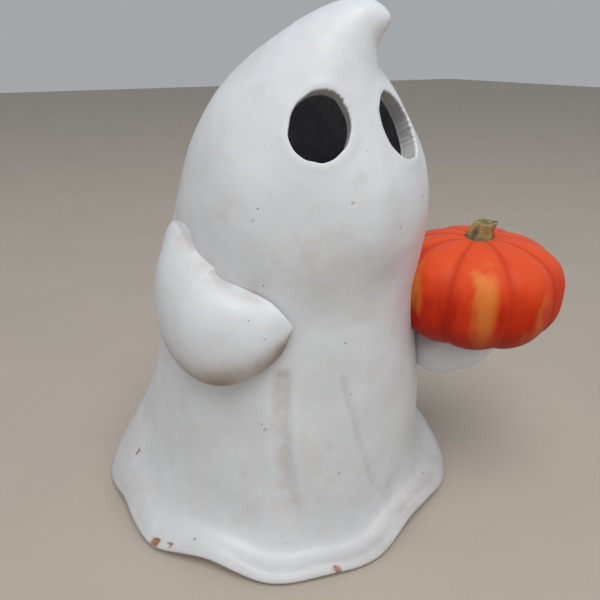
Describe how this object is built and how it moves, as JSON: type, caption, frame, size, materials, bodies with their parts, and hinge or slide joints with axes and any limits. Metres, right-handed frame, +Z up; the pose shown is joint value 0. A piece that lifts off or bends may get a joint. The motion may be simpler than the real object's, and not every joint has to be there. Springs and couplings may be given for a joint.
{
  "type": "light-up ghost",
  "caption": "Hollow ceramic sheet ghost with a bent crown and open eyes, carrying a pumpkin on its left arm, with a battery light unit and timer switch in its foot.",
  "frame": {"origin": "on the table, under the middle of the whole figure", "axes": "+Z up, the ghost faces -Y, its left arm with the pumpkin is on the +X side"},
  "size_m": [0.181, 0.1746, 0.2057],
  "materials": {
    "white_paint": "satin white paint over terracotta, chipped at the hem and stained in its creases",
    "orange_paint": "brushed orange glaze paint, deeper red in the grooves and below",
    "olive_paint": "brushed olive and brown paint",
    "white_plastic": "moulded, fine texture",
    "black_plastic": "moulded, fine texture",
    "seal_foam": "closed-cell foam",
    "steel": "nickel plated",
    "board_green": "solder mask",
    "cell_skin": "plain gloss sleeve",
    "frosted_plastic": "frosted",
    "led_clear": "clear epoxy",
    "red_wire": "smooth insulation",
    "black_wire": "smooth insulation",
    "resistor_tan": "lacquer"
  },
  "bodies": {
    "figure": {"ghost_shell": "white_paint", "right_arm": "white_paint", "left_arm": "white_paint", "pumpkin": "orange_paint", "pumpkin_stem": "olive_paint", "base_plate": "white_plastic", "seal_ring": "seal_foam", "battery_box": "black_plastic", "battery_1": "cell_skin", "battery_2": "cell_skin", "battery_3": "cell_skin", "contact_spring_1": "steel", "contact_spring_2": "steel", "contact_spring_3": "steel", "link_plate_1": "steel", "link_plate_2": "steel", "plus_plate": "steel", "minus_plate": "steel", "switch_case": "black_plastic", "circuit_board": "board_green", "timer_chip": "black_plastic", "crystal": "steel", "resistor": "resistor_tan", "lamp_post": "white_plastic", "lamp_board": "board_green", "led": "led_clear", "diffuser": "frosted_plastic", "wire_battery_plus": "red_wire", "wire_switch_board": "red_wire", "wire_battery_minus": "black_wire", "wire_led_plus": "red_wire", "wire_led_minus": "black_wire", "box_screw_1": "steel", "box_screw_2": "steel", "box_screw_3": "steel", "box_screw_4": "steel", "switch_screw_1": "steel", "switch_screw_2": "steel", "board_screw_1": "steel", "board_screw_2": "steel", "post_screw_1": "steel", "post_screw_2": "steel"},
    "door": {"battery_door": "white_plastic", "door_screw": "steel"},
    "knob": {"switch_knob": "black_plastic"}
  },
  "joints": [
    {"name": "door_hinge", "type": "hinge", "parent": "figure", "child": "door", "pos_m": [-0.0395, 0.00567, 0.0039], "axis": [0, 1, 0], "range_deg": [0, 100]},
    {"name": "switch_slide", "type": "slide", "parent": "figure", "child": "knob", "axis": [1, 0, 0], "range_m": [0, 0.005]}
  ]
}
